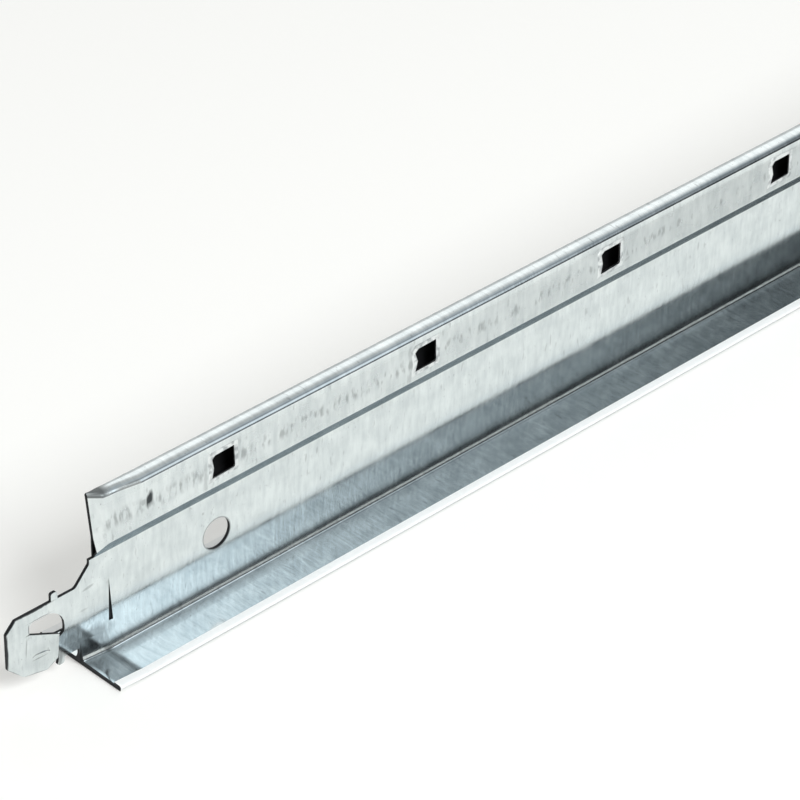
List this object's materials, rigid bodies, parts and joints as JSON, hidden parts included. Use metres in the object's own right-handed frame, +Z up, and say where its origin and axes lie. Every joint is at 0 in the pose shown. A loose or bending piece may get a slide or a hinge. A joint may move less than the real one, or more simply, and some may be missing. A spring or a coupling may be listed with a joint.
{
  "type": "ceiling grid cross tee",
  "caption": "Inverted T of folded galvanised sheet with a hollow box bulb, a white painted cap hemmed round the flange and a plug-in clip at each end.",
  "frame": {"origin": "on the floor under the middle of the flange, at mid length", "axes": "+X along the tee, +Z up the web to the bulb, -Y the side with the square holes"},
  "size_m": [0.6258, 0.024, 0.0379],
  "materials": {
    "galvanised_steel": "hot-dip galvanised strip, bright, with fine rolling streaks across it and darker cut edges",
    "white_paint": "coil-coated matt white"
  },
  "bodies": {
    "root": {"galvanised_tee": "galvanised_steel", "painted_cap": "white_paint"}
  },
  "joints": []
}
